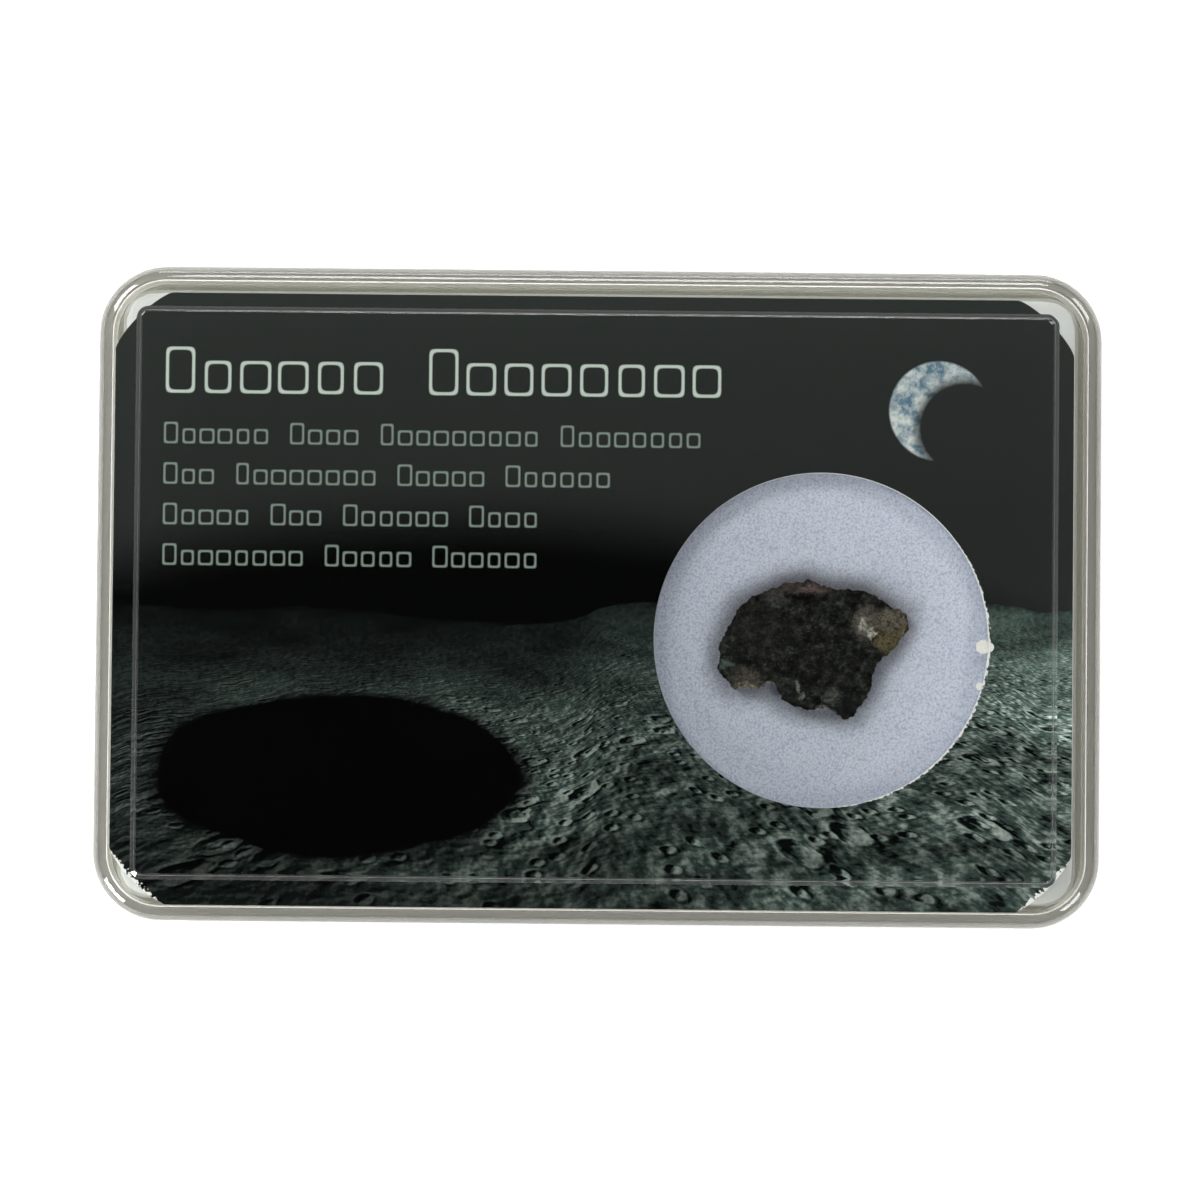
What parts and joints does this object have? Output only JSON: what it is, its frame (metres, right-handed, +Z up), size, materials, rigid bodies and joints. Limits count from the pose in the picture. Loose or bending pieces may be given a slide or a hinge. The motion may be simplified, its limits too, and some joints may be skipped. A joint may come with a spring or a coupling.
{
  "type": "lunar meteorite slice",
  "caption": "Dark, broken slice of lunar meteorite on white foam, seen through the round window of a printed card inside a flat, clear plastic display case with a lift-off lid.",
  "frame": {"origin": "middle of the case's flat underside", "axes": "+X along the long side of the case towards the window, +Y towards the top edge of the printed card, +Z up out of the lid"},
  "size_m": [0.089, 0.058, 0.0106],
  "materials": {
    "clear_lid": "polished",
    "clear_base": "polished",
    "white_foam": "matte",
    "printed_card": "satin",
    "dark_stone": "matte"
  },
  "bodies": {
    "root": {"case_lid": "clear_lid", "case_base": "clear_base", "foam_pad": "white_foam", "info_card": "printed_card", "meteorite_slice": "dark_stone"}
  },
  "joints": []
}
